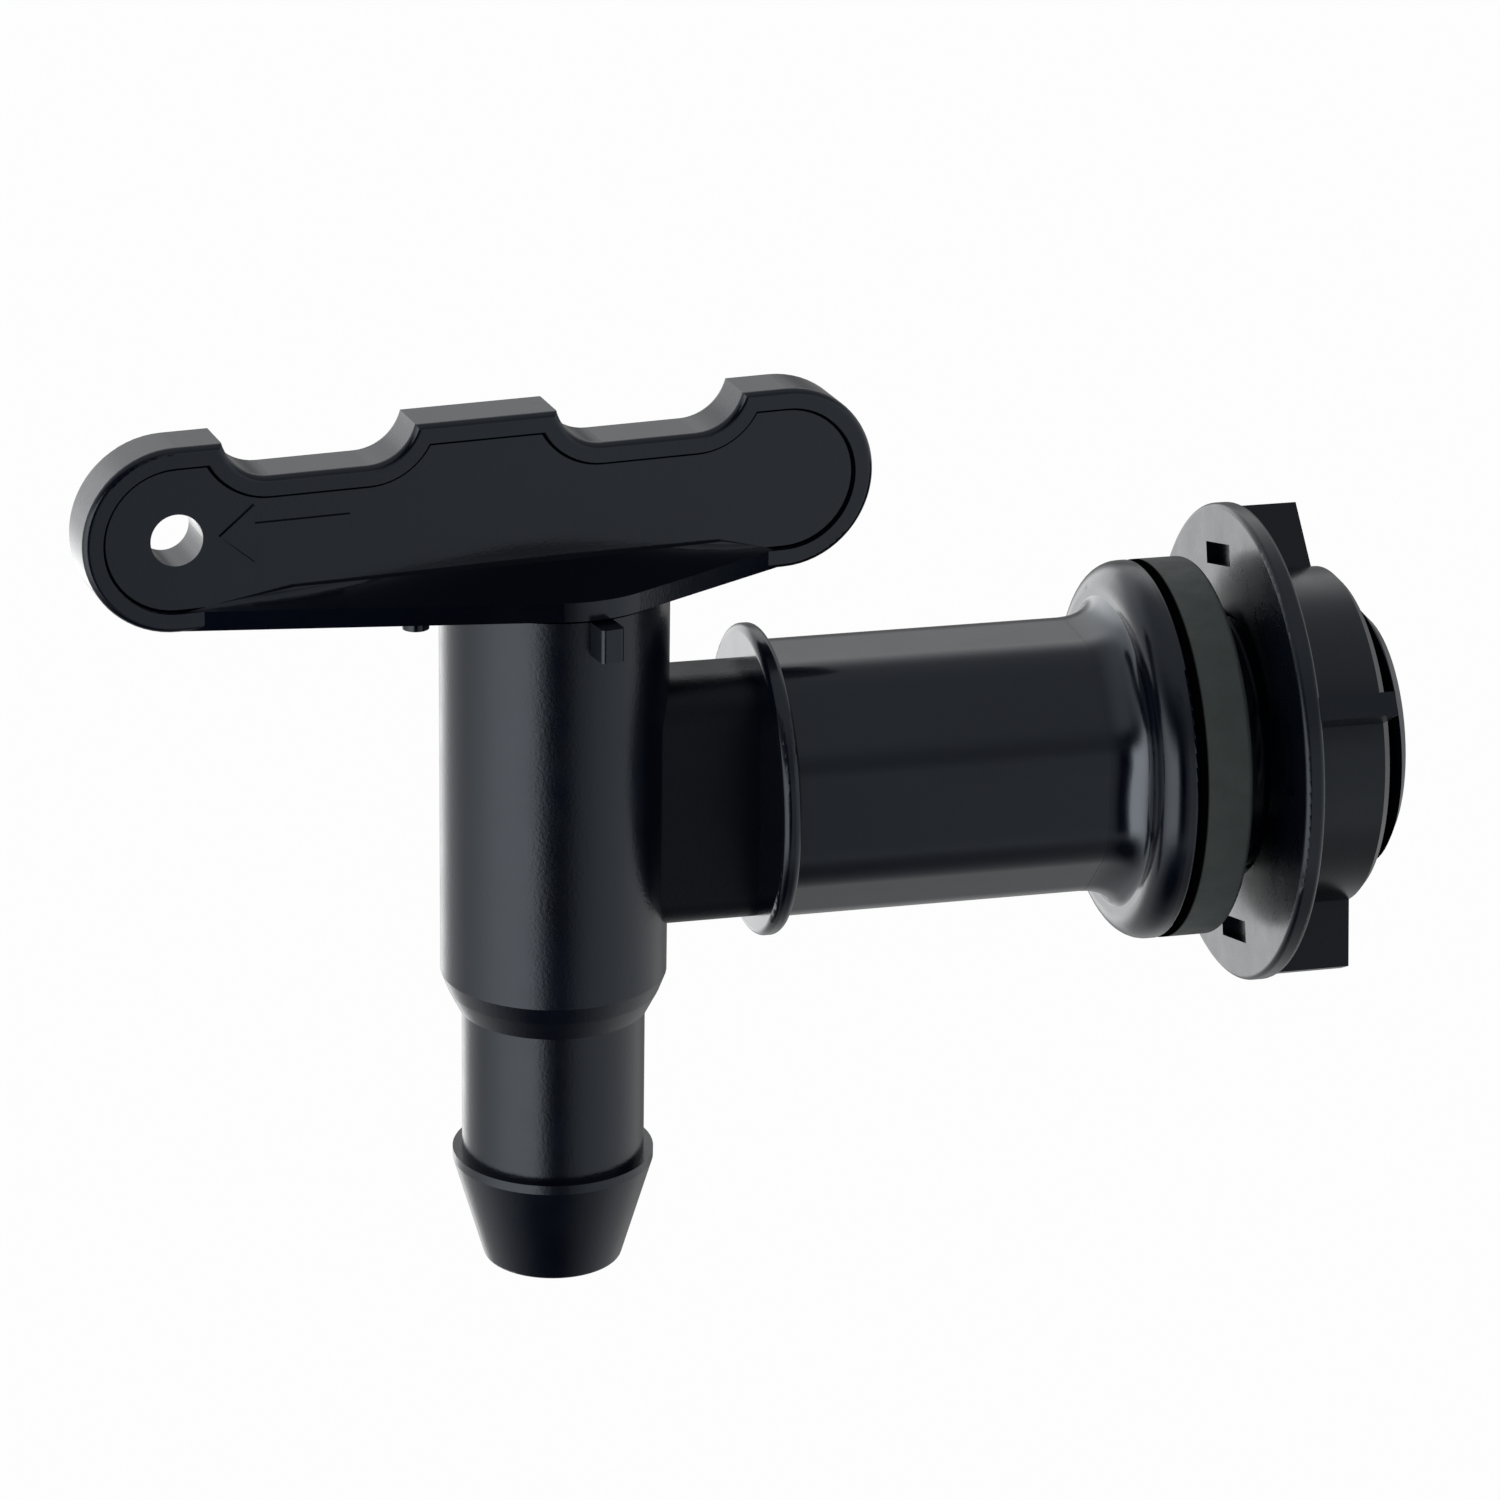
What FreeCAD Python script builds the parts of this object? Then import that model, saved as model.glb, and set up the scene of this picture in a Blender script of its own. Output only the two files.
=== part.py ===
import FreeCAD, Part
import Sketcher
import math
import os
import re

os.makedirs("parts", exist_ok=True)
doc = FreeCAD.newDocument("water_butt_tap")
Vector = FreeCAD.Vector

# Sizes in millimetres and degrees. The origin is the middle of the washer's
# tank-side face, +X runs into the tank and +Z is up.
SIZES = {
    "washer_thick": 5.2,
    "washer_r": 18.0,
    "washer_bore_r": 13.5,
    "washer_round": 0.5,
    "flange_lip": 5.8,
    "flange_rim": 0.55,
    "flange_round": 2.5,
    "flange_back_round": 0.45,
    "flare_round": 1.0,
    "axis_to_flange": 57.0,
    "barrel_r": 10.6,
    "barrel_top": 20.45,
    "barrel_edge": 0.5,
    "foot_top": 17.2,
    "foot_mid": 18.9,
    "foot_mid_r": 9.95,
    "foot_end_r": 8.95,
    "tail_top": 20.85,
    "tail_r": 8.6,
    "barb_top": 35.5,
    "barb_r": 9.5,
    "barb_lip": 0.9,
    "tail_end": 46.55,
    "tail_end_r": 6.5,
    "tail_end_round": 0.45,
    "chamber_r": 8.4,
    "chamber_floor": 16.0,
    "shoulder_drop": 1.2,
    "outlet_top_r": 6.4,
    "outlet_end_r": 5.2,
    "snap_z": 14.6,
    "snap_height": 1.6,
    "snap_depth": 0.5,
    "neck_width": 11.4,
    "neck_top": 9.9,
    "neck_low": 10.7,
    "neck_corner": 2.4,
    "bead_x": 18.25,
    "bead_thick": 1.8,
    "bead_r": 14.65,
    "bead_round": 0.7,
    "pipe_flat": 12.2,
    "pipe_edge_round": 3.0,
    "spigot_r": 12.06,
    "spigot_end": 17.35,
    "spigot_chamfer": 0.8,
    "inlet_r": 9.4,
    "inlet_floor": 22.0,
    "port_width": 7.8,
    "port_height": 13.0,
    "port_corner": 2.0,
    "lug_r": 13.2,
    "lug_width": 2.2,
    "lug_height": 3.15,
    "lug_round": 0.4,
    "open_lug_angle": 168.8,
    "shut_lug_angle": 281.2,
    "lever_turn": 6.13,
    "lever_gap": 0.3,
    "blade_thick": 5.6,
    "blade_end_r": 8.6,
    "blade_half": 28.8,
    "blade_shift": 7.3,
    "blade_round": 0.6,
    "crest_half": 6.65,
    "notch_slope": 4.4,
    "notch_depth": 3.4,
    "end_crest": 4.25,
    "panel_inset": 1.8,
    "panel_depth": 0.4,
    "panel_slope": 5.6,
    "cord_hole_r": 2.4,
    "base_r": 11.0,
    "base_top_r": 3.2,
    "base_wall": 1.8,
    "base_rise": 1.45,
    "base_left": 36.0,
    "base_right": 21.0,
    "base_bury": 0.55,
    "ridge_left": 25.5,
    "ridge_right": 15.2,
    "pin_r": 1.25,
    "pin_reach": 13.3,
    "pin_length": 2.9,
    "plug_clearance": 0.1,
    "plug_end_gap": 0.5,
    "plug_bore_r": 5.9,
    "plug_bore_top": 7.6,
    "seal_z": 10.6,
    "seal_width": 2.0,
    "seal_depth": 1.6,
    "seal_r": 0.78,
    "seal_clearance": 0.05,
    "snap_clearance": 0.3,
    "mouth": 0.6,
    "nut_gap": 3.4,
    "disc_r": 22.8,
    "disc_thick": 1.9,
    "disc_round": 0.5,
    "collar_r": 16.1,
    "nut_length": 10.8,
    "nut_edge": 0.7,
    "nut_clearance": 0.08,
    "wing_r": 22.4,
    "wing_thick": 2.2,
    "wing_slope": 0.8,
    "wing_turn": -27.5,
    "core_r": 17.95,
    "core_across": 2.1,
    "core_along": 6.8,
    "core_depth": 1.2,
    "core_angle": 12.5,
}

sheet = doc.addObject("Spreadsheet::Sheet", "Sizes")
for row, (name, size) in enumerate(SIZES.items(), start=1):
    sheet.set("A%d" % row, name)
    sheet.set("B%d" % row, str(size))
    sheet.setAlias("B%d" % row, name)
doc.recompute()


def linked(text):
    """Put the sheet's name before each size named in an expression."""
    return re.sub(r"[a-z]\w*", lambda m: "Sizes." + m[0] if m[0] in SIZES else m[0], text)


def value(text):
    """Work out an expression of size names as a number."""
    result = sheet.evalExpression(text)
    return float(getattr(result, "Value", result))


def make_body(name, label, x, axis="0; 0; 1", turn="0"):
    """Start a body placed along X and turned about one axis through its origin."""
    body = doc.addObject("PartDesign::Body", name)
    body.Label = label
    frame = "placement(vector(%s; 0; 0); rotation(vector(%s); %s))" % (x, axis, turn)
    body.setExpression("Placement", linked(frame))
    return body


def make_sketch(body, name, plane, lift="0"):
    """Put a sketch on one of the body's own planes, lifted along its normal."""
    sketch = body.newObject("Sketcher::SketchObject", name)
    origin = [f for f in body.Origin.OriginFeatures if f.Role == plane][0]
    sketch.AttachmentSupport = [(origin, "")]
    sketch.MapMode = "FlatFace"
    if lift != "0":
        sketch.setExpression("AttachmentOffset.Base.z", linked(lift))
    return sketch


def pin_point(sketch, geo, pos, x, y):
    """Hold one point of a sketch at x, y."""
    for kind, text, other in (("DistanceX", x, -2), ("DistanceY", y, -1)):
        number = value(text)
        if abs(number) < 1e-9:
            sketch.addConstraint(Sketcher.Constraint("PointOnObject", geo, pos, other))
            continue
        index = sketch.addConstraint(Sketcher.Constraint(kind, -1, 1, geo, pos, number))
        sketch.setExpression("Constraints[%d]" % index, linked(text))


def closed_profile(sketch, corners):
    """Join the corners with lines. A corner (x, y, cx, side) starts an arc centred at cx."""
    count = len(corners)
    spots = [(value(c[0]), value(c[1])) for c in corners]
    for i, corner in enumerate(corners):
        a, b = spots[i], spots[(i + 1) % count]
        if len(corner) == 2:
            sketch.addGeometry(Part.LineSegment(Vector(a[0], a[1], 0), Vector(b[0], b[1], 0)))
            continue
        cx = value(corner[2])
        cy = arc_centre_y(a, b, cx)
        first = math.atan2(a[1] - cy, a[0] - cx)
        last = math.atan2(b[1] - cy, b[0] - cx)
        radius = math.hypot(a[0] - cx, a[1] - cy)
        if corner[3] < 0:
            first, last = last, first
        circle = Part.Circle(Vector(cx, cy, 0), Vector(0, 0, 1), radius)
        sketch.addGeometry(Part.ArcOfCircle(circle, first, last))
    for i, corner in enumerate(corners):
        j = (i + 1) % count
        end = 1 if len(corner) > 2 and corner[3] < 0 else 2
        start = 2 if len(corners[j]) > 2 and corners[j][3] < 0 else 1
        sketch.addConstraint(Sketcher.Constraint("Coincident", i, end, j, start))
    for i, corner in enumerate(corners):
        start = 2 if len(corner) > 2 and corner[3] < 0 else 1
        pin_point(sketch, i, start, corner[0], corner[1])
        if len(corner) > 2:
            hold_centre(sketch, i, corner[2])
    return sketch


def arc_centre_y(a, b, cx):
    """Find the height of the arc centre that is as far from a as from b."""
    return (a[0] ** 2 - b[0] ** 2 + a[1] ** 2 - b[1] ** 2 - 2 * cx * (a[0] - b[0])) / (2 * (a[1] - b[1]))


def hold_centre(sketch, geo, x):
    """Hold the middle of an arc at one distance from the upright axis."""
    number = value(x)
    if abs(number) < 1e-9:
        sketch.addConstraint(Sketcher.Constraint("PointOnObject", geo, 3, -2))
        return
    index = sketch.addConstraint(Sketcher.Constraint("DistanceX", -1, 1, geo, 3, number))
    sketch.setExpression("Constraints[%d]" % index, linked(x))


def circle_sketch(body, name, plane, radius, x="0", y="0", lift="0"):
    """Draw one circle on a plane."""
    sketch = make_sketch(body, name, plane, lift)
    centre = Vector(value(x), value(y), 0)
    sketch.addGeometry(Part.Circle(centre, Vector(0, 0, 1), value(radius)))
    pin_point(sketch, 0, 3, x, y)
    index = sketch.addConstraint(Sketcher.Constraint("Radius", 0, value(radius)))
    sketch.setExpression("Constraints[%d]" % index, linked(radius))
    return sketch


def extrude(body, kind, name, sketch, length, backwards=False, midplane=False):
    """Pad or pocket a sketch."""
    feature = body.newObject("PartDesign::" + kind, name)
    feature.Profile = sketch
    feature.setExpression("Length", linked(length))
    feature.Reversed = backwards
    if midplane:
        feature.SideType = "Symmetric"
    sketch.Visibility = False
    doc.recompute()
    return feature


def turn_round(body, kind, name, sketch, axis):
    """Revolve or groove a sketch about one of its axes."""
    feature = body.newObject("PartDesign::" + kind, name)
    feature.Profile = sketch
    feature.ReferenceAxis = (sketch, [axis])
    feature.Angle = 360
    sketch.Visibility = False
    doc.recompute()
    return feature


def dress(body, kind, name, picked, size):
    """Round or chamfer the edges that the test picks."""
    base = body.Tip
    edges = ["Edge%d" % (i + 1) for i, e in enumerate(base.Shape.Edges) if picked(e)]
    feature = body.newObject("PartDesign::" + kind, name)
    feature.Base = (base, edges)
    feature.setExpression("Radius" if kind == "Fillet" else "Size", linked(size))
    doc.recompute()
    return feature


def near(a, b, margin=0.02):
    """Tell whether two numbers agree."""
    return abs(a - b) < margin


def is_ring(edge, radius, axis, height):
    """Tell whether an edge is a round one of this radius at this height along an axis."""
    if not hasattr(edge.Curve, "Radius") or not near(edge.Curve.Radius, radius):
        return False
    return near(getattr(edge.Curve.Center, axis), height)


def turned_box(sketch, near_r, far_r, width, angle):
    """Draw a box that stands out from the origin at an angle."""
    spot = "{r} * cos({a}) - ({w}) * sin({a})", "{r} * sin({a}) + ({w}) * cos({a})"
    corners = []
    for r, side in ((near_r, "-"), (far_r, "-"), (far_r, ""), (near_r, "")):
        w = "%s%s / 2" % (side, width)
        corners.append(tuple(part.format(r="(%s)" % r, a=angle, w=w) for part in spot))
    return closed_profile(sketch, corners)


def rounded_box(sketch, width, low, top, corner):
    """Draw an upright box about the origin with rounded corners."""
    side, inner = "(%s / 2)" % width, "(%s / 2 - %s)" % (width, corner)
    below, above = "(%s - %s)" % (low, corner), "(%s - %s)" % (top, corner)
    return closed_profile(sketch, [
        (side, "-" + below),
        (side, above, inner, 1),
        (inner, top),
        ("-" + inner, top, "-" + inner, 1),
        ("-" + side, above),
        ("-" + side, "-" + below, "-" + inner, 1),
        ("-" + inner, "-" + low),
        (inner, "-" + low, inner, 1),
    ])


# Tap body: barrel with its foot, hose tail and barb
AXIS_X = "-(washer_thick + axis_to_flange)"
tap = make_body("TapBody", "tap_body", AXIS_X)
barrel_outline = closed_profile(make_sketch(tap, "BarrelOutline", "XZ_Plane"), [
    ("0", "barrel_top"),
    ("0", "-tail_end"),
    ("tail_end_r", "-tail_end"),
    ("barb_r", "-(barb_top + barb_lip)"),
    ("barb_r", "-barb_top"),
    ("tail_r", "-barb_top"),
    ("tail_r", "-tail_top"),
    ("foot_end_r", "-tail_top"),
    ("foot_mid_r", "-foot_mid"),
    ("barrel_r", "-foot_top"),
    ("barrel_r", "barrel_top"),
])
turn_round(tap, "Revolution", "Barrel", barrel_outline, "V_Axis")

# Tap body: neck, bead ring, eight-sided pipe, flange and spigot
neck_outline = rounded_box(make_sketch(tap, "NeckOutline", "YZ_Plane"),
                           "neck_width", "neck_low", "neck_top", "neck_corner")
extrude(tap, "Pad", "Neck", neck_outline, "bead_x + 0.5")
bead = circle_sketch(tap, "BeadOutline", "YZ_Plane", "bead_r", lift="bead_x")
extrude(tap, "Pad", "Bead", bead, "bead_thick")
dress(tap, "Fillet", "BeadRound", lambda e: is_ring(e, value("bead_r"), "x", value("bead_x"))
      or is_ring(e, value("bead_r"), "x", value("bead_x + bead_thick")), "bead_round")
FLANGE_R = "(pipe_flat + flange_lip)"
FLANGE_FRONT = "(axis_to_flange - flange_back_round - flange_rim - flange_round)"
FLAT, SIDE = "pipe_flat", "pipe_flat * tan(22.5)"
pipe_outline = closed_profile(make_sketch(tap, "PipeOutline", "YZ_Plane", "bead_x + bead_thick / 2"), [
    (FLAT, "-" + SIDE), (FLAT, SIDE), (SIDE, FLAT), ("-" + SIDE, FLAT),
    ("-" + FLAT, SIDE), ("-" + FLAT, "-" + SIDE), ("-" + SIDE, "-" + FLAT), (SIDE, "-" + FLAT),
])
extrude(tap, "Pad", "Pipe", pipe_outline, FLANGE_FRONT + " + flange_round - bead_x - bead_thick / 2")
pipe_far = value("pipe_flat / cos(22.5)")
dress(tap, "Fillet", "PipeEdges",
      lambda e: e.Length > 20 and near(math.hypot(e.CenterOfMass.y, e.CenterOfMass.z), pipe_far),
      "pipe_edge_round")
flange = circle_sketch(tap, "FlangeOutline", "YZ_Plane", FLANGE_R, lift=FLANGE_FRONT)
extrude(tap, "Pad", "Flange", flange, "axis_to_flange - " + FLANGE_FRONT)


def is_flare_edge(edge):
    """Tell whether an edge is where the pipe meets the flange."""
    middle = edge.CenterOfMass
    if not all(near(v.X, value(FLANGE_FRONT)) for v in edge.Vertexes):
        return False
    return all(math.hypot(v.Y, v.Z) < value(FLANGE_R) - 1 for v in edge.Vertexes) and middle.x > 40


dress(tap, "Fillet", "Flare", is_flare_edge, "flare_round")
dress(tap, "Fillet", "FlangeRound",
      lambda e: is_ring(e, value(FLANGE_R), "x", value(FLANGE_FRONT)), "flange_round")
dress(tap, "Fillet", "FlangeBackRound",
      lambda e: is_ring(e, value(FLANGE_R), "x", value("axis_to_flange")), "flange_back_round")
spigot = circle_sketch(tap, "SpigotOutline", "YZ_Plane", "spigot_r", lift="axis_to_flange - 1")
extrude(tap, "Pad", "Spigot", spigot, "washer_thick + spigot_end + 1")
SPIGOT_END = "axis_to_flange + washer_thick + spigot_end"
dress(tap, "Chamfer", "SpigotLead",
      lambda e: is_ring(e, value("spigot_r"), "x", value(SPIGOT_END)), "spigot_chamfer")

# Tap body: the two stop lugs beside the barrel's rim
for name, angle in (("OpenLug", "open_lug_angle"), ("ShutLug", "shut_lug_angle")):
    lug = make_sketch(tap, name + "Outline", "XY_Plane", "barrel_top - lug_height")
    turned_box(lug, "barrel_r - 0.6", "lug_r", "lug_width", angle)
    extrude(tap, "Pad", name, lug, "lug_height")
LUG_CORNER = value("sqrt(lug_r * lug_r + lug_width * lug_width / 4)")
dress(tap, "Fillet", "LugEdges",
      lambda e: all(near(math.hypot(v.X, v.Y), LUG_CORNER) for v in e.Vertexes) and e.Length > 2.5, "lug_round")

# Tap body: plug chamber, snap groove, outlet and inlet
chamber_outline = closed_profile(make_sketch(tap, "ChamberOutline", "XZ_Plane"), [
    ("0", "-tail_end"),
    ("outlet_end_r", "-tail_end"),
    ("outlet_top_r", "-(chamber_floor + shoulder_drop)"),
    ("chamber_r", "-chamber_floor"),
    ("chamber_r", "snap_z - snap_height / 2"),
    ("chamber_r + snap_depth", "snap_z - snap_height / 2"),
    ("chamber_r + snap_depth", "snap_z + snap_height / 2"),
    ("chamber_r", "snap_z + snap_height / 2"),
    ("chamber_r", "barrel_top - mouth"),
    ("chamber_r + mouth", "barrel_top"),
    ("0", "barrel_top"),
])
turn_round(tap, "Groove", "Chamber", chamber_outline, "V_Axis")
inlet = circle_sketch(tap, "InletOutline", "YZ_Plane", "inlet_r", lift=SPIGOT_END)
extrude(tap, "Pocket", "Inlet", inlet, SPIGOT_END + " - inlet_floor")
PORT = "port_width", "(port_height / 2)", "(port_height / 2)", "port_corner"
port = rounded_box(make_sketch(tap, "PortOutline", "YZ_Plane", "inlet_floor + 1"), *PORT)
extrude(tap, "Pocket", "Port", port, "inlet_floor + 1 - chamber_r / 2")
dress(tap, "Fillet", "TailEndRound",
      lambda e: is_ring(e, value("tail_end_r"), "z", value("-tail_end")), "tail_end_round")

# Lever: blade with two finger notches in its top edge
lever = make_body("Lever", "lever", AXIS_X, turn="lever_turn")
LOW = "(barrel_top + lever_gap)"
TOP = "(barrel_top + lever_gap + 2 * blade_end_r)"
PORT_SIDE = "(blade_half - blade_shift)"
HOLE_SIDE = "(-blade_half - blade_shift)"
INNER = "(crest_half + notch_slope)"
OUTER = "(blade_half - end_crest - notch_slope)"


def blade_outline(name, inset, slope, lift="0"):
    """Draw the blade's outline, or the same set in by a margin."""
    low, top = "%s + %s" % (LOW, inset), "%s - %s" % (TOP, inset)
    dip = "%s - notch_depth - %s" % (TOP, inset)
    right_in, right_out = "%s - blade_shift" % INNER, "%s - blade_shift" % OUTER
    left_in, left_out = "-%s - blade_shift" % INNER, "-%s - blade_shift" % OUTER
    return closed_profile(make_sketch(lever, name, "XZ_Plane", lift), [
        (HOLE_SIDE, low),
        (PORT_SIDE, low, PORT_SIDE, 1),
        (PORT_SIDE, top),
        ("%s + %s" % (right_out, slope), top, right_out, -1),
        (right_out, dip),
        (right_in, dip, right_in, -1),
        ("%s - %s" % (right_in, slope), top),
        ("%s + %s" % (left_in, slope), top, left_in, -1),
        (left_in, dip),
        (left_out, dip, left_out, -1),
        ("%s - %s" % (left_out, slope), top),
        (HOLE_SIDE, top, HOLE_SIDE, 1),
    ])


extrude(lever, "Pad", "Blade", blade_outline("BladeOutline", "0", "notch_slope"), "blade_thick", midplane=True)
blade_face = value("blade_thick / 2")
dress(lever, "Fillet", "BladeRound",
      lambda e: all(near(abs(v.Y), blade_face) for v in e.Vertexes) and near(abs(e.CenterOfMass.y), blade_face),
      "blade_round")
for name, lift, back in (("NearPanel", "blade_thick / 2", False), ("FarPanel", "-blade_thick / 2", True)):
    panel = blade_outline(name + "Outline", "panel_inset", "panel_slope", lift)
    extrude(lever, "Pocket", name, panel, "panel_depth", backwards=back)
hole = circle_sketch(lever, "HoleOutline", "XZ_Plane", "cord_hole_r", HOLE_SIDE, LOW + " + blade_end_r",
                     lift="blade_thick")
extrude(lever, "Pocket", "CordHole", hole, "2 * blade_thick")


def tangent_angle(radius, reach, half):
    """Give the angle at the axis of the line from a tip beside the axis that touches a circle."""
    words = "(acos({r} / sqrt({l} * {l} + {w} * {w})) + atan({w} / {l}))"
    return words.format(r=radius, l=reach, w=half)


def boat_outline(name, radius, left_reach, right_reach, half, lift):
    """Draw a circle drawn out to a blunt tip at both ends."""
    left = tangent_angle(radius, left_reach, half)
    right = tangent_angle(radius, right_reach, half)
    left_x, left_y = "-%s * cos(%s)" % (radius, left), "%s * sin(%s)" % (radius, left)
    right_x, right_y = "%s * cos(%s)" % (radius, right), "%s * sin(%s)" % (radius, right)
    return closed_profile(make_sketch(lever, name, "XY_Plane", lift), [
        ("-" + left_reach, "-" + half),
        (left_x, "-" + left_y, "0", 1),
        (right_x, "-" + right_y),
        (right_reach, "-" + half),
        (right_reach, half),
        (right_x, right_y, "0", 1),
        (left_x, left_y),
        ("-" + left_reach, half),
    ])


def wide_outline(name, lift):
    """Draw the base at its widest, with both tips hidden inside the blade."""
    return boat_outline(name, "base_r", "base_left", "base_right", "(blade_thick / 2 - base_bury)", lift)


# Lever: base, stop pin and hollow plug
extrude(lever, "Pad", "Base", wide_outline("BaseOutline", LOW), "base_wall")
slope_low = wide_outline("SlopeLowOutline", LOW + " + base_wall")
slope_high = boat_outline("SlopeHighOutline", "base_top_r", "ridge_left", "ridge_right", "(blade_thick / 2)",
                          LOW + " + base_wall + base_rise")
slope = lever.newObject("PartDesign::AdditiveLoft", "BaseSlope")
slope.Profile = slope_low
slope.Sections = [slope_high]
slope.Ruled = True
doc.recompute()
pin = circle_sketch(lever, "PinOutline", "XY_Plane", "pin_r", "-pin_reach", "0", lift=LOW)
extrude(lever, "Pad", "Pin", pin, "pin_length", backwards=True)
PLUG_R = "(chamber_r - plug_clearance)"


def groove_points(height):
    """Give the corners of one seal groove, from above to below."""
    return [
        (PLUG_R, "%s + seal_width / 2" % height),
        (PLUG_R + " - seal_depth", "%s + seal_width / 2" % height),
        (PLUG_R + " - seal_depth", "%s - seal_width / 2" % height),
        (PLUG_R, "%s - seal_width / 2" % height),
    ]


snap_half = "(snap_height / 2 - snap_clearance)"
plug_outline = closed_profile(make_sketch(lever, "PlugOutline", "XZ_Plane"), [
    ("0", LOW + " + 1"),
    (PLUG_R, LOW + " + 1"),
    (PLUG_R, "snap_z + " + snap_half),
    ("chamber_r + snap_depth - snap_clearance", "snap_z + " + snap_half),
    ("chamber_r + snap_depth - snap_clearance", "snap_z"),
    (PLUG_R, "snap_z - " + snap_half),
] + groove_points("seal_z") + groove_points("-seal_z") + [
    (PLUG_R, "-(chamber_floor - plug_end_gap)"),
    ("plug_bore_r", "-(chamber_floor - plug_end_gap)"),
    ("plug_bore_r", "plug_bore_top"),
    ("0", "plug_bore_top"),
])
turn_round(lever, "Revolution", "Plug", plug_outline, "V_Axis")
plug_port = rounded_box(make_sketch(lever, "PlugPortOutline", "YZ_Plane"), *PORT)
extrude(lever, "Pocket", "PlugPort", plug_port, "chamber_r + 1", backwards=True)

# O-rings on the plug
for name, height in (("upper_seal", "seal_z"), ("lower_seal", "-seal_z")):
    ring = doc.addObject("Part::Torus", name.title().replace("_", ""))
    ring.Label = name
    ring.setExpression("Radius1", linked("chamber_r - seal_clearance - seal_r"))
    ring.setExpression("Radius2", linked("seal_r"))
    ring.setExpression("Placement.Base.x", linked(AXIS_X))
    ring.setExpression("Placement.Base.z", linked(height))

# Sealing washer
washer = make_body("Washer", "washer", "-washer_thick")
ring_outline = circle_sketch(washer, "WasherOutline", "YZ_Plane", "washer_r")
extrude(washer, "Pad", "Ring", ring_outline, "washer_thick")
washer_bore = circle_sketch(washer, "WasherBoreOutline", "YZ_Plane", "washer_bore_r", lift="washer_thick")
extrude(washer, "Pocket", "WasherBore", washer_bore, "washer_thick")
dress(washer, "Fillet", "WasherRound",
      lambda e: hasattr(e.Curve, "Radius") and near(e.Curve.Radius, value("washer_r")), "washer_round")

# Back nut: disc, collar, four wings and small cored pockets
nut = make_body("BackNut", "back_nut", "nut_gap", "1; 0; 0", "wing_turn")
disc = circle_sketch(nut, "DiscOutline", "YZ_Plane", "disc_r")
extrude(nut, "Pad", "Disc", disc, "disc_thick")
dress(nut, "Fillet", "DiscRound", lambda e: hasattr(e.Curve, "Radius"), "disc_round")
collar = circle_sketch(nut, "CollarOutline", "YZ_Plane", "collar_r")
extrude(nut, "Pad", "Collar", collar, "nut_length")
dress(nut, "Chamfer", "CollarEdge",
      lambda e: is_ring(e, value("collar_r"), "x", value("nut_length")), "nut_edge")
wing_outline = closed_profile(make_sketch(nut, "WingOutline", "XZ_Plane"), [
    ("disc_thick / 2", "collar_r - 1"),
    ("nut_length - nut_edge", "collar_r - 1"),
    ("nut_length - nut_edge", "collar_r"),
    ("nut_length - nut_edge - wing_slope", "wing_r"),
    ("disc_thick / 2", "wing_r"),
])
wing = extrude(nut, "Pad", "Wing", wing_outline, "wing_thick", midplane=True)


def repeat_round(body, name, feature):
    """Repeat a feature four times about the nut's own axis."""
    pattern = body.newObject("PartDesign::PolarPattern", name)
    pattern.Originals = [feature]
    axis = [f for f in body.Origin.OriginFeatures if f.Role == "X_Axis"][0]
    pattern.Axis = (axis, [""])
    pattern.Angle = 360
    pattern.Occurrences = 4
    body.Tip = pattern
    doc.recompute()
    return pattern


repeat_round(nut, "Wings", wing)
core_outline = turned_box(make_sketch(nut, "CoreOutline", "YZ_Plane"),
                          "core_r - core_across / 2", "core_r + core_across / 2", "core_along",
                          "(90 + core_angle)")
core = extrude(nut, "Pocket", "Core", core_outline, "core_depth", backwards=True)
repeat_round(nut, "Cores", core)
nut_bore = circle_sketch(nut, "NutBoreOutline", "YZ_Plane", "spigot_r + nut_clearance", lift="nut_length")
extrude(nut, "Pocket", "NutBore", nut_bore, "nut_length")
dress(nut, "Chamfer", "NutBoreLead",
      lambda e: hasattr(e.Curve, "Radius") and near(e.Curve.Radius, value("spigot_r + nut_clearance")), "nut_edge")

# Check every object and write the parts
doc.recompute()
failed = [item.Name for item in doc.Objects if "Invalid" in item.State or "Error" in item.State]
if failed:
    raise RuntimeError("these objects failed: %s" % failed)
for label in ("tap_body", "lever", "upper_seal", "lower_seal", "washer", "back_nut"):
    part = doc.getObjectsByLabel(label)[0]
    shape = part.Shape
    if shape.isNull() or not shape.isValid() or len(shape.Solids) != 1:
        raise RuntimeError("%s has a bad shape" % label)
    shape.exportStep("parts/%s.step" % label)
    print(label, "volume", round(shape.Volume, 1), "faces", len(shape.Faces))
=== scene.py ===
import math

import bmesh
import bpy
from mathutils import Matrix, Vector


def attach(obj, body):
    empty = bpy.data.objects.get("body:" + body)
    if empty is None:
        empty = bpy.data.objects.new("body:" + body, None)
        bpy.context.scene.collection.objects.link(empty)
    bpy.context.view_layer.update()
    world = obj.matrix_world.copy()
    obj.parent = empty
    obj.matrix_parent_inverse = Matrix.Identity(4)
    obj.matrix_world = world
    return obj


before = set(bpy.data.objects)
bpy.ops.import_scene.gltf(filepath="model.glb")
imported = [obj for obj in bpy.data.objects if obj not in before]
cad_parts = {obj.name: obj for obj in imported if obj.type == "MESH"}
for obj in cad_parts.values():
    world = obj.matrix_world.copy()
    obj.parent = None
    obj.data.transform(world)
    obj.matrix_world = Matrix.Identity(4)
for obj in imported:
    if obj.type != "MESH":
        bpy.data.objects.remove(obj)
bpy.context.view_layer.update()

# Pieces are drawn in mm and turned into metres by MM. Materials and the stage are in metres.
MM = 0.001
AXIS_X = -62.2
LEVER_TURN = math.radians(6.13)


# Nodes

GRAIN_HEIGHT = 0.0001


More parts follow.
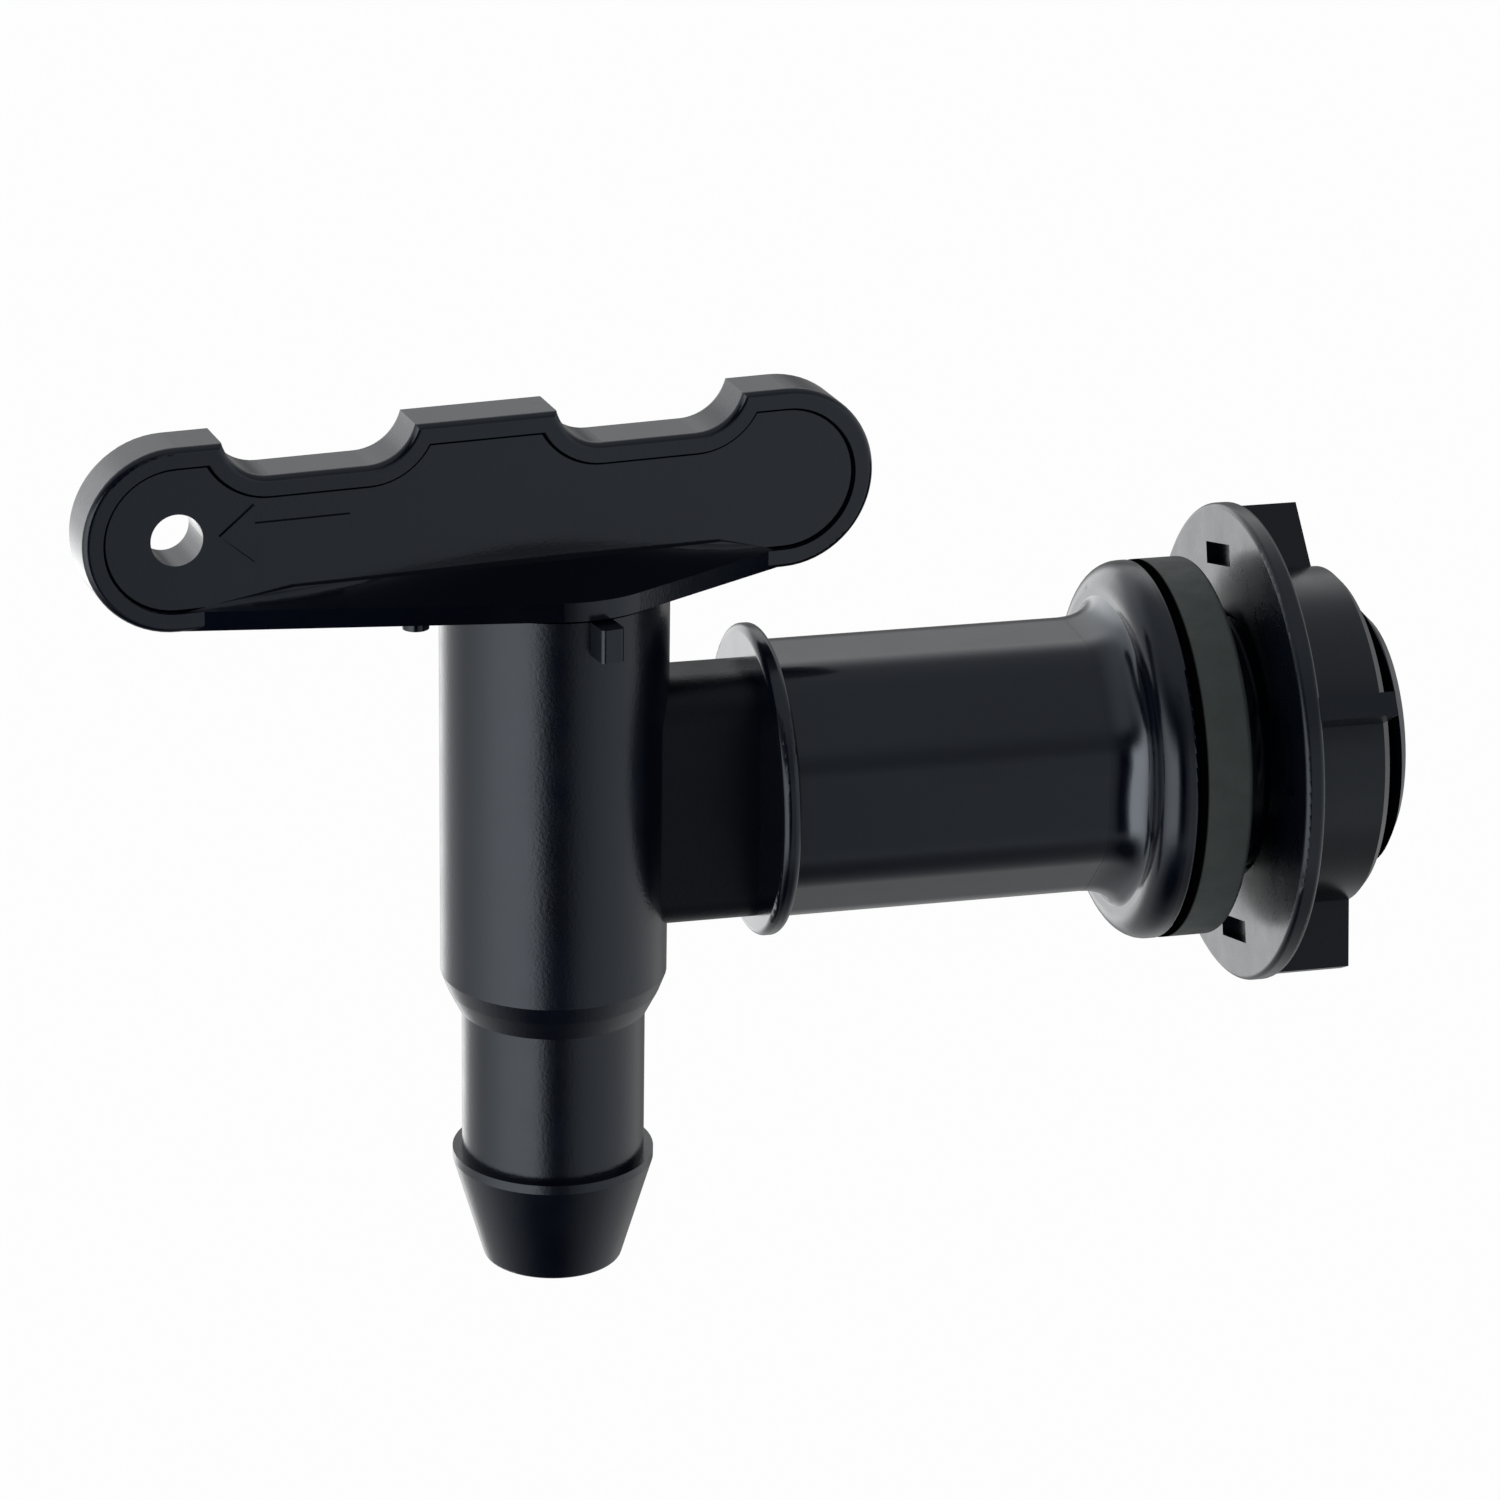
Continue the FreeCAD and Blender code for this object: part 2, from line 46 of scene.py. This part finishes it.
def start_material(name):
    """Make a material with one shader and return its node tree and shader."""
    material = bpy.data.materials.new(name)
    material.use_nodes = True
    tree = material.node_tree
    shader = tree.nodes["Principled BSDF"]
    return material, tree, shader


def add(tree, kind, **values):
    """Add a node, set its properties and its input sockets."""
    node = tree.nodes.new(kind)
    for key, value in values.items():
        if hasattr(node, key):
            setattr(node, key, value)
        else:
            node.inputs[key.replace("_", " ")].default_value = value
    return node


def feed(tree, socket, value):
    """Give an input socket its value, which is a number or another socket."""
    if isinstance(value, (int, float)):
        socket.default_value = value
    else:
        tree.links.new(value, socket)


def ramp(tree, source, stops):
    """Map a value through a colour ramp. Each stop is (position, grey or colour)."""
    node = tree.nodes.new("ShaderNodeValToRGB")
    elements = node.color_ramp.elements
    while len(elements) < len(stops):
        elements.new(0.5)
    for element, (position, shade) in zip(elements, stops):
        element.position = position
        element.color = (*shade, 1) if isinstance(shade, tuple) else (shade, shade, shade, 1)
    tree.links.new(source, node.inputs["Fac"])
    return node.outputs["Color"]


def math_node(tree, operation, a, b):
    """Join two values, each a socket or a number."""
    node = tree.nodes.new("ShaderNodeMath")
    node.operation = operation
    feed(tree, node.inputs[0], a)
    feed(tree, node.inputs[1], b)
    return node.outputs[0]


def noise(tree, coordinates, scale, detail=3.0, rough=0.5):
    """Make noise over the object, scale in lumps a metre."""
    node = add(tree, "ShaderNodeTexNoise", Scale=scale, Detail=detail, Roughness=rough)
    tree.links.new(coordinates, node.inputs["Vector"])
    return node.outputs["Fac"]


def object_place(tree):
    """Give the place on the object."""
    return tree.nodes.new("ShaderNodeTexCoord").outputs["Object"]


def rise_along_x(tree, spot, start, end, low=0.0, high=1.0):
    """Give a value that goes from low to high between two places along X."""
    parts = tree.nodes.new("ShaderNodeSeparateXYZ")
    tree.links.new(spot, parts.inputs[0])
    rise = add(tree, "ShaderNodeMapRange", From_Min=start, From_Max=end, To_Min=low, To_Max=high)
    tree.links.new(parts.outputs["X"], rise.inputs["Value"])
    return rise.outputs[0]


def add_grain(tree, shader, height, strength):
    """Raise the surface a little by a height map."""
    bump = add(tree, "ShaderNodeBump", Distance=GRAIN_HEIGHT)
    feed(tree, bump.inputs["Strength"], strength)
    tree.links.new(height, bump.inputs["Height"])
    tree.links.new(bump.outputs[0], shader.inputs["Normal"])


# Materials

PLASTIC_IOR = 1.5
COOL_GLOSS = (0.82, 0.905, 1.0, 1)
SMOOTH_EDGE = 0.001
SMOOTH_LESS_ROUGH = 0.06
SMOOTH_LESS_GRAIN = 0.75
# Painted shadow of the gap between the washer and the flange: the washer's edge there is black without gloss.
PAINTED_SHADE_EDGE = 0.0001
PAINTED_SHADE_BLACK = (0.001, 0.001, 0.001, 1)


def plastic(name, dark, light, rough_low, rough_high, grain, grain_depth, smooth_from=None, shine=0.5):
    """Black moulded plastic with a fine grain, faint cloudiness and handling marks.

    It gets smoother beyond the place smooth_from along X, if there is one.
    """
    material, tree, shader = start_material(name)
    link = tree.links.new
    spot = object_place(tree)
    cloud = noise(tree, spot, 60.0, 4.0, 0.6)
    link(ramp(tree, cloud, [(0.3, dark), (0.7, light)]), shader.inputs["Base Color"])
    marks = ramp(tree, noise(tree, spot, 180.0, 5.0, 0.65), [(0.35, rough_low), (0.7, rough_high)])
    fine = noise(tree, spot, grain, 2.0, 0.6)
    if smooth_from is None:
        rough, strength = marks, grain_depth
    else:
        smooth = rise_along_x(tree, spot, smooth_from - SMOOTH_EDGE, smooth_from + SMOOTH_EDGE)
        rough = math_node(tree, "SUBTRACT", marks, math_node(tree, "MULTIPLY", smooth, SMOOTH_LESS_ROUGH))
        calm = math_node(tree, "SUBTRACT", 1.0, math_node(tree, "MULTIPLY", smooth, SMOOTH_LESS_GRAIN))
        strength = math_node(tree, "MULTIPLY", calm, grain_depth)
    link(rough, shader.inputs["Roughness"])
    add_grain(tree, shader, fine, strength)
    shader.inputs["IOR"].default_value = PLASTIC_IOR
    shader.inputs["Specular IOR Level"].default_value = shine
    shader.inputs["Specular Tint"].default_value = COOL_GLOSS
    return material


def rubber(name, dark, light, rough, painted_shade_to=None):
    """Matt rubber with a dusty bloom and a soft grain.

    It has a painted shadow, black and without gloss, up to a given place along X, if there is one, for the
    gap where it meets the next part.
    """
    material, tree, shader = start_material(name)
    link = tree.links.new
    spot = object_place(tree)
    bloom = ramp(tree, noise(tree, spot, 140.0, 5.0, 0.7), [(0.3, dark), (0.72, light)])
    if painted_shade_to is None:
        link(bloom, shader.inputs["Base Color"])
    else:
        clear = rise_along_x(tree, spot, painted_shade_to - PAINTED_SHADE_EDGE, painted_shade_to + PAINTED_SHADE_EDGE)
        mix = add(tree, "ShaderNodeMix", data_type="RGBA")
        link(clear, mix.inputs["Factor"])
        mix.inputs["A"].default_value = PAINTED_SHADE_BLACK
        link(bloom, mix.inputs["B"])
        link(mix.outputs["Result"], shader.inputs["Base Color"])
        link(math_node(tree, "MULTIPLY", clear, 0.5), shader.inputs["Specular IOR Level"])
    patches = [(0.3, rough - 0.08), (0.7, rough + 0.08)]
    link(ramp(tree, noise(tree, spot, 400.0, 3.0), patches), shader.inputs["Roughness"])
    add_grain(tree, shader, noise(tree, spot, 2600.0, 3.0, 0.7), 0.35)
    return material


def sheen_towards(material, start, end, level):
    """Raise a material's gloss from its own level to another between two places along X: a painted sheen that
    brightens the highlight there.
    """
    tree = material.node_tree
    gloss = tree.nodes["Principled BSDF"].inputs["Specular IOR Level"]
    rise = rise_along_x(tree, object_place(tree), start, end, gloss.default_value, level)
    tree.links.new(rise, gloss)


BODY_DARK, BODY_LIGHT = (0.0008, 0.0017, 0.0052), (0.002, 0.0038, 0.0105)
BODY = plastic("body_black", BODY_DARK, BODY_LIGHT,
               rough_low=0.21, rough_high=0.28, grain=3200.0, grain_depth=0.2, smooth_from=-0.045)
LEVER = plastic("lever_black", (0.0006, 0.0014, 0.0045), (0.0016, 0.0032, 0.009),
                rough_low=0.12, rough_high=0.17, grain=3600.0, grain_depth=0.08)
NUT = plastic("nut_black", (0.001, 0.0019, 0.0046), (0.0022, 0.0038, 0.009),
              rough_low=0.24, rough_high=0.32, grain=3000.0, grain_depth=0.03)
# The neck's skin has a rougher grain. Its darker, less glossy colour is painted shade on the neck between the
# barrel and the bead.
NECK = plastic("neck_black", (0.0008, 0.0014, 0.0036), (0.0018, 0.003, 0.007),
               rough_low=0.34, rough_high=0.42, grain=2600.0, grain_depth=0.3, shine=0.22)
FLARE = plastic("flare_black", BODY_DARK, BODY_LIGHT,
                rough_low=0.15, rough_high=0.2, grain=3200.0, grain_depth=0.05)
# Painted shade: black without gloss, for the thread's end past the nut and the line round the blade's panel,
# which stand in shadow.
PAINTED_SHADE = plastic("painted_shade_black", (0.0006, 0.0009, 0.0016), (0.001, 0.0015, 0.003),
                 rough_low=0.4, rough_high=0.5, grain=3000.0, grain_depth=0.05, shine=0.0)
# The washer's edge by the flange gets the painted shadow of the gap between them.
WASHER = rubber("washer_grey", (0.03, 0.04, 0.0385), (0.05, 0.063, 0.061), rough=0.62, painted_shade_to=-0.0044)
SEAL = rubber("seal_black", (0.006, 0.006, 0.006), (0.012, 0.012, 0.012), rough=0.5)

# Painted highlight: the flare's gloss rises to twice the plastic's own towards the flange, so its glint shows
# brighter.
sheen_towards(FLARE, -0.0118, -0.0102, 1.0)


def dress(obj, material):
    """Give a piece one material."""
    obj.data.materials.clear()
    obj.data.materials.append(material)


for node, material in (("tap_body", BODY), ("lever", LEVER), ("back_nut", NUT), ("washer", WASHER),
                       ("upper_seal", SEAL), ("lower_seal", SEAL)):
    dress(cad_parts[node], material)


# Pieces

SHARP = math.radians(35)
ARROW_SHARP = math.radians(30)


def place_object(name, data):
    """Put an object with the given data into the scene."""
    obj = bpy.data.objects.new(name, data)
    bpy.context.scene.collection.objects.link(obj)
    return obj


def place_mesh(name, mesh):
    """Turn a bmesh into an object in the scene."""
    data = bpy.data.meshes.new(name)
    mesh.to_mesh(data)
    mesh.free()
    return place_object(name, data)


def make_piece(name, mesh, material, body, sharp=SHARP):
    """Turn a bmesh into a piece that rides on a body, smooth but for its sharp edges."""
    bmesh.ops.recalc_face_normals(mesh, faces=mesh.faces)
    obj = place_mesh(name, mesh)
    obj.data.shade_smooth()
    obj.data.set_sharp_from_angle(angle=sharp)
    dress(obj, material)
    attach(obj, body)


def wrap_piece(name, loops, material, body):
    """Join loops of places in mm, the last one to the first, into a closed skin."""
    mesh = bmesh.new()
    rings = [[mesh.verts.new(Vector(spot) * MM) for spot in loop] for loop in loops]
    for a, b in zip(rings, rings[1:] + rings[:1]):
        for k in range(len(a)):
            n = (k + 1) % len(a)
            mesh.faces.new((a[k], b[k], b[n], a[n]))
    make_piece(name, mesh, material, body)


# The inlet thread, where the nut doesn't cover it

THREAD_PITCH, THREAD_ROOT, THREAD_CREST = 1.814, 12.0, 13.16
RIDGE_FOOT, RIDGE_TOP = 0.78, 0.16
RIDGE_ROOM = 0.8
ENDS_TURN = 0.62
RUN_OUT = 0.3
LEAST_HEIGHT = 0.02
TURN_STEPS = 72


def thread_piece(name, start, end, material):
    """Wind a thread ridge round the inlet spigot between two distances along it."""
    count = int(((end - start) / THREAD_PITCH - ENDS_TURN) * TURN_STEPS)
    section = ((-RIDGE_FOOT, THREAD_ROOT), (-RIDGE_TOP, THREAD_CREST),
               (RIDGE_TOP, THREAD_CREST), (RIDGE_FOOT, THREAD_ROOT))
    fade_steps = TURN_STEPS * RUN_OUT
    mesh = bmesh.new()
    rings = []
    for i in range(count + 1):
        angle = 2 * math.pi * i / TURN_STEPS
        x = start + RIDGE_ROOM + THREAD_PITCH * i / TURN_STEPS
        fade = max(min(1.0, i / fade_steps, (count - i) / fade_steps), LEAST_HEIGHT)
        ring = []
        for shift, radius in section:
            r = THREAD_ROOT + (radius - THREAD_ROOT) * fade
            ring.append(mesh.verts.new((MM * (x + shift),
                                        MM * r * math.cos(angle), MM * r * math.sin(angle))))
        rings.append(ring)
    for a, b in zip(rings, rings[1:]):
        for k in range(len(section) - 1):
            mesh.faces.new((a[k], b[k], b[k + 1], a[k + 1]))
        mesh.faces.new((a[-1], b[-1], b[0], a[0]))
    mesh.faces.new(rings[0])
    mesh.faces.new(list(reversed(rings[-1])))
    make_piece(name, mesh, material, "tap")


thread_piece("thread_by_washer", -0.6, 3.3, BODY)
# The thread's end past the nut gets the painted shade, black as in the shadow of its grooves.
thread_piece("thread_end", 14.25, 16.9, PAINTED_SHADE)


# Skins over the neck and the pipe, and the round where the pipe opens into the flange

NECK_SIDE, NECK_TOP, NECK_LOW = 5.78, 11.4, 12.55
NECK_TOP_ROUND, NECK_LOW_ROUND = 4.4, 3.4
NECK_START, NECK_END, NECK_SKIN = 8.6, 18.9, 0.5
PIPE_FLAT, PIPE_ROUND = 12.46, 6.0
PIPE_START, PIPE_END, PIPE_SKIN = 19.7, 53.8, 0.3
HALF_SIDE = math.radians(22.5)
PIPE_REACH = (PIPE_FLAT - PIPE_ROUND) / math.cos(HALF_SIDE)
LONG_SIDE = 1.5
SUPPORT = 0.06
FLANGE_FACE, FLANGE_RIM = -8.6, 15.35
FLARE_LENGTH, FLARE_OVERLAP = 3.6, 0.3
FLARE_LIFT, FLARE_DEPTH = 0.02, 0.5
FLARE_STEPS, FLARE_TURN_STEPS = 18, 160


def with_supports(spots):
    """Add a point near both ends of each long side, so that flats shade flat."""
    full = []
    for a, b in zip(spots, spots[1:] + spots[:1]):
        full.append(a)
        length = math.dist(a, b)
        if length > LONG_SIDE:
            for part in (SUPPORT / length, 1 - SUPPORT / length):
                full.append((a[0] + (b[0] - a[0]) * part, a[1] + (b[1] - a[1]) * part))
    return full


def rounded_loop(corners, steps=10):
    """Go round a rounded outline. Each corner is (across, up, radius, first angle, last angle)."""
    spots = []
    for across, up, radius, first, last in corners:
        for i in range(steps + 1):
            angle = math.radians(first + (last - first) * i / steps)
            spots.append((across + radius * math.cos(angle), up + radius * math.sin(angle)))
    return with_supports(spots)


def neck_loop(inset):
    """Outline of the tall oblong neck, with rounder edges on top."""
    side, top, low = NECK_SIDE - inset, NECK_TOP - inset, NECK_LOW - inset
    high, small = NECK_TOP_ROUND - inset, NECK_LOW_ROUND - inset
    return rounded_loop([(side - small, small - low, small, -90, 0),
                         (side - high, top - high, high, 0, 90),
                         (high - side, top - high, high, 90, 180),
                         (small - side, small - low, small, 180, 270)])


def pipe_loop(inset):
    """Outline of the eight-sided pipe with its softly rounded edges."""
    turns = [22.5 + 45 * i for i in range(8)]
    return rounded_loop([(PIPE_REACH * math.cos(math.radians(t)), PIPE_REACH * math.sin(math.radians(t)),
                          PIPE_ROUND - inset, t - 22.5, t + 22.5) for t in turns])


def pipe_radius(angle):
    """Give the distance of the pipe's surface from its axis at an angle."""
    off_flat = abs((angle + HALF_SIDE) % (2 * HALF_SIDE) - HALF_SIDE)
    if math.tan(off_flat) * PIPE_FLAT < (PIPE_FLAT - PIPE_ROUND) * math.tan(HALF_SIDE):
        return PIPE_FLAT / math.cos(off_flat)
    off_edge = HALF_SIDE - off_flat
    return (PIPE_REACH * math.cos(off_edge)
            + math.sqrt(PIPE_ROUND ** 2 - (PIPE_REACH * math.sin(off_edge)) ** 2))


def sleeve(name, start, end, outer, inner, material):
    """Make a thin skin along the inlet between two distances from the barrel's axis."""
    loops = [[(AXIS_X + distance, y, z) for y, z in loop]
             for distance, loop in ((start, outer), (end, outer), (end, inner), (start, inner))]
    wrap_piece(name, loops, material, "tap")


def flare_ring():
    """The hollow round between the pipe and the flange."""
    back = FLANGE_FACE - FLARE_LENGTH
    inside = FLANGE_FACE + FLARE_OVERLAP
    turns = [math.pi / 2 * k / FLARE_STEPS for k in range(FLARE_STEPS + 1)]
    loops = []
    for i in range(FLARE_TURN_STEPS):
        angle = 2 * math.pi * i / FLARE_TURN_STEPS
        foot = pipe_radius(angle) + FLARE_LIFT
        profile = [(back + FLARE_LENGTH * math.sin(t), FLANGE_RIM - (FLANGE_RIM - foot) * math.cos(t))
                   for t in turns]
        profile += [(inside, FLANGE_RIM), (inside, foot - FLARE_DEPTH), (back, foot - FLARE_DEPTH)]
        loops.append([(x, r * math.cos(angle), r * math.sin(angle)) for x, r in profile])
    wrap_piece("flare_ring", loops, FLARE, "tap")


sleeve("neck_skin", NECK_START, NECK_END, neck_loop(0.0), neck_loop(NECK_SKIN), NECK)
sleeve("pipe_skin", PIPE_START, PIPE_END, pipe_loop(0.0), pipe_loop(PIPE_SKIN), BODY)
flare_ring()


# The arrow on the lever's blade, and a painted shade line round its panel

PANEL_LOW, PANEL_TOP, PANEL_DIP = 20.75, 37.95, 34.55
PANEL_RIGHT, PANEL_LEFT = 21.5, -36.1
NOTCHES = ((12.85, 3.75), (-18.35, -27.45))
NOTCH_SLOPE, SLOPE_GROWTH = 4.4, 2 / 3
LINE_OUTER, LINE_INNER = 1.83, 2.1
LINE_LOW, LINE_HIGH = 2.38, 2.42
ARROW = ((-5.8, 0.0), (-2.6, 2.75), (-2.6, 1.0), (6.4, 1.0), (6.4, -1.0), (-2.6, -1.0), (-2.6, -2.75))
ARROW_X, ARROW_Z = -26.5, 29.35
ARROW_BACK, ARROW_FRONT, ARROW_DRAFT = -2.35, -2.66, 0.1


def lever_spot(x, y, z):
    """Turn a place on the lever, in mm from the barrel's axis, into one in the shared frame."""
    spot = Vector((x, y, z))
    spot.rotate(Matrix.Rotation(LEVER_TURN, 3, "Z"))
    return spot + Vector((AXIS_X, 0, 0))


def arc(centre_x, centre_z, radius, first, last, steps=12):
    """List places along an arc between two angles in degrees."""
    turns = [math.radians(first + (last - first) * i / steps) for i in range(steps + 1)]
    return [(centre_x + radius * math.cos(t), centre_z + radius * math.sin(t)) for t in turns]


def panel_outline(inset):
    """Outline of the blade's sunk panel, set in from the blade's edge."""
    low, top, dip = PANEL_LOW + inset, PANEL_TOP - inset, PANEL_DIP - inset
    slope = NOTCH_SLOPE + inset * SLOPE_GROWTH
    middle, half = (low + top) / 2, (top - low) / 2
    bend = (slope ** 2 + (top - dip) ** 2) / (2 * (top - dip))
    edge = math.degrees(math.atan2(top - dip - bend, slope))
    spots = arc(PANEL_RIGHT, middle, half, -90, 90, 24)
    for right, left in NOTCHES:
        spots += arc(right, dip + bend, bend, edge, -90) + arc(left, dip + bend, bend, -90, -180 - edge)
    return spots + arc(PANEL_LEFT, middle, half, 90, 270, 24)


def panel_shade_line(name, side):
    """The painted shade at the foot of the panel's wall on one face of the blade: a black strip standing for
    the recess's shadow.
    """
    outer, inner = panel_outline(LINE_OUTER), panel_outline(LINE_INNER)
    loops = [[lever_spot(x, side * y, z) for x, z in outline]
             for outline, y in ((outer, LINE_LOW), (outer, LINE_HIGH), (inner, LINE_HIGH), (inner, LINE_LOW))]
    wrap_piece(name, loops, PAINTED_SHADE, "handle")


def arrow_mark():
    """A raised arrow in the lever's front panel that points along it."""
    mesh = bmesh.new()
    rings = []
    for y, inset in ((ARROW_BACK, 0.0), (ARROW_FRONT, ARROW_DRAFT)):
        ring = []
        for x, z in ARROW:
            x -= math.copysign(inset, x)
            z -= math.copysign(inset, z) if z else 0.0
            ring.append(mesh.verts.new(lever_spot(ARROW_X + x, y, ARROW_Z + z) * MM))
        rings.append(ring)
    for k in range(len(ARROW)):
        n = (k + 1) % len(ARROW)
        mesh.faces.new((rings[0][k], rings[0][n], rings[1][n], rings[1][k]))
    for ring in rings:
        mesh.faces.new(ring)
    make_piece("arrow_mark", mesh, LEVER, "handle", ARROW_SHARP)


# Painted shade lines on both faces of the blade.
panel_shade_line("panel_shade_line_front", -1)
panel_shade_line("panel_shade_line_back", 1)
arrow_mark()


# Stage, camera and light. The rooms' stops are (degrees from the front towards +X, brightness).

BRIGHTEST = 2.5
MID_ROOM = [(-180, 0.7), (-172, 2.2), (-158, 2.4), (-140, 1.0), (-112, 0.8), (-92, 1.4), (-74, 2.2),
            (-56, 2.5), (-44, 2.5), (-35, 2.5), (-27, 0.5), (-19, 0.0), (-4, 0.0), (8, 0.38),
            (24, 0.66), (60, 0.85), (95, 0.95), (120, 0.8), (142, 0.25), (172, 0.25), (180, 0.7)]
HIGH_ROOM = [(-180, 1.12), (-150, 1.1), (-120, 0.8), (-90, 0.5), (-60, 0.12), (-30, 0.02), (0, 0.12),
             (15, 0.32), (60, 0.42), (110, 0.5), (140, 0.75), (156, 1.12), (180, 1.12)]
CEILING = 0.5
MID_TO_HIGH = (0.1, 0.45)
HIGH_TO_CEILING = (0.55, 0.92)

FLOOR_Z = -0.42
FLOOR_REACH = 3.0
FLOOR_MIDDLE = (-0.05, 0.0, FLOOR_Z)
FLOOR_WHITE = (0.86, 0.86, 0.86, 1)
FLOOR_DARK = (-0.13, -0.2, FLOOR_Z)
FLOOR_DARK_EDGE = (0.12, 0.46)
FLOOR_NEAR = (-0.03, 0.0, FLOOR_Z)
NEAR_TO_FAR = (0.35, 0.8)
NEAR_LEVEL = 0.6
FLOOR_GLOW = 0.97

CAMERA_TURN = math.radians(-14.7689)
CAMERA_RISE = math.radians(20.6416)
CAMERA_ROLL = math.radians(0.8863)
CAMERA_SPOT = (-173.968, -494.946, 195.726)
LENS, SENSOR = 140.852, 36.0


def distance_from(tree, spot, place):
    """Measure how far a point is from a fixed place."""
    away = add(tree, "ShaderNodeVectorMath", operation="DISTANCE")
    tree.links.new(spot, away.inputs[0])
    away.inputs[1].default_value = place
    return away.outputs["Value"]


def bearing_of(tree, parts):
    """Give the bearing of a direction, from 0 behind through 0.5 in front back to 1 behind."""
    towards = math_node(tree, "MULTIPLY", parts.outputs["Y"], -1.0)
    angle = math_node(tree, "ARCTAN2", parts.outputs["X"], towards)
    return math_node(tree, "ADD", math_node(tree, "DIVIDE", angle, 2 * math.pi), 0.5)


def around(tree, bearing, stops):
    """Map a bearing to a brightness, as a share of the brightest."""
    return ramp(tree, bearing, [((degrees + 180) / 360, level / BRIGHTEST) for degrees, level in stops])


def blend(tree, amount, low, high, span):
    """Go from one brightness to another as an amount rises over a span."""
    start, end = span
    rise = add(tree, "ShaderNodeMapRange", interpolation_type="SMOOTHSTEP", From_Min=start, From_Max=end)
    tree.links.new(amount, rise.inputs["Value"])
    mix = add(tree, "ShaderNodeMix", data_type="FLOAT")
    tree.links.new(rise.outputs[0], mix.inputs[0])
    feed(tree, mix.inputs[2], low)
    feed(tree, mix.inputs[3], high)
    return mix.outputs[0]


def seen_by_camera(tree, path):
    """Give 1 for a ray from the camera, also through clear material."""
    return math_node(tree, "MAXIMUM", path.outputs["Is Camera Ray"], path.outputs["Is Transmission Ray"])


def make_stage():
    """A floor, white to the camera, well below the tap, which a tank wall holds up.

    In reflections it is as bright as the room, with a dark patch in front of the tap.
    """
    mesh = bmesh.new()
    bmesh.ops.create_circle(mesh, cap_ends=True, segments=96, radius=FLOOR_REACH)
    floor = place_mesh("floor", mesh)
    floor.location = FLOOR_MIDDLE
    material, tree, shader = start_material("floor_white")
    link = tree.links.new
    shader.inputs["Base Color"].default_value = FLOOR_WHITE
    shader.inputs["Roughness"].default_value = 0.9
    path = tree.nodes.new("ShaderNodeLightPath")
    seen = seen_by_camera(tree, path)
    spot = tree.nodes.new("ShaderNodeNewGeometry").outputs["Position"]
    parts = tree.nodes.new("ShaderNodeSeparateXYZ")
    link(spot, parts.inputs[0])
    dark_start, dark_end = FLOOR_DARK_EDGE
    near = add(tree, "ShaderNodeMapRange", From_Min=dark_start, From_Max=dark_end,
               To_Max=NEAR_LEVEL / BRIGHTEST)
    link(distance_from(tree, spot, FLOOR_DARK), near.inputs["Value"])
    far = around(tree, bearing_of(tree, parts), MID_ROOM)
    shade = blend(tree, distance_from(tree, spot, FLOOR_NEAR), near.outputs[0], far, NEAR_TO_FAR)
    mirrored = math_node(tree, "MULTIPLY", shade, math_node(tree, "SUBTRACT", 1.0, seen))
    strength = math_node(tree, "ADD", seen, math_node(tree, "MULTIPLY", mirrored, BRIGHTEST))
    glow = tree.nodes.new("ShaderNodeEmission")
    glow.inputs["Color"].default_value = (1, 1, 1, 1)
    link(strength, glow.inputs["Strength"])
    mix = tree.nodes.new("ShaderNodeMixShader")
    looked_at = math_node(tree, "MAXIMUM", seen, path.outputs["Is Glossy Ray"])
    link(math_node(tree, "MULTIPLY", looked_at, FLOOR_GLOW), mix.inputs[0])
    link(shader.outputs[0], mix.inputs[1])
    link(glow.outputs[0], mix.inputs[2])
    link(mix.outputs[0], tree.nodes["Material Output"].inputs["Surface"])
    dress(floor, material)


def make_camera():
    """The camera at the photograph's angle."""
    data = bpy.data.cameras.new("camera")
    camera = place_object("camera", data)
    across = math.cos(CAMERA_RISE)
    back = Vector((math.sin(CAMERA_TURN) * across, -math.cos(CAMERA_TURN) * across, math.sin(CAMERA_RISE)))
    turn = (-back).to_track_quat("-Z", "Y").to_matrix() @ Matrix.Rotation(CAMERA_ROLL, 3, "Z")
    camera.matrix_world = Matrix.Translation(Vector(CAMERA_SPOT) * MM) @ turn.to_4x4()
    data.sensor_fit = "HORIZONTAL"
    data.sensor_width = SENSOR
    data.lens = LENS
    data.clip_start, data.clip_end = 0.01, 10.0
    bpy.context.scene.camera = camera


def make_world():
    """A studio, bright behind and on the left, dim on the right, dark in front, white to the camera."""
    world = bpy.data.worlds.new("studio")
    bpy.context.scene.world = world
    world.use_nodes = True
    tree = world.node_tree
    link = tree.links.new
    light = tree.nodes["Background"]
    parts = tree.nodes.new("ShaderNodeSeparateXYZ")
    link(tree.nodes.new("ShaderNodeTexCoord").outputs["Generated"], parts.inputs[0])
    bearing = bearing_of(tree, parts)
    height = parts.outputs["Z"]
    room = blend(tree, height, around(tree, bearing, MID_ROOM), around(tree, bearing, HIGH_ROOM), MID_TO_HIGH)
    link(blend(tree, height, room, CEILING / BRIGHTEST, HIGH_TO_CEILING), light.inputs["Color"])
    light.inputs["Strength"].default_value = BRIGHTEST
    white = add(tree, "ShaderNodeBackground", Strength=1.0)
    white.inputs["Color"].default_value = (1, 1, 1, 1)
    mix = tree.nodes.new("ShaderNodeMixShader")
    link(seen_by_camera(tree, tree.nodes.new("ShaderNodeLightPath")), mix.inputs[0])
    link(light.outputs[0], mix.inputs[1])
    link(white.outputs[0], mix.inputs[2])
    link(mix.outputs[0], tree.nodes["World Output"].inputs["Surface"])


make_stage()
make_camera()
make_world()
bpy.context.scene.view_settings.view_transform = "Standard"
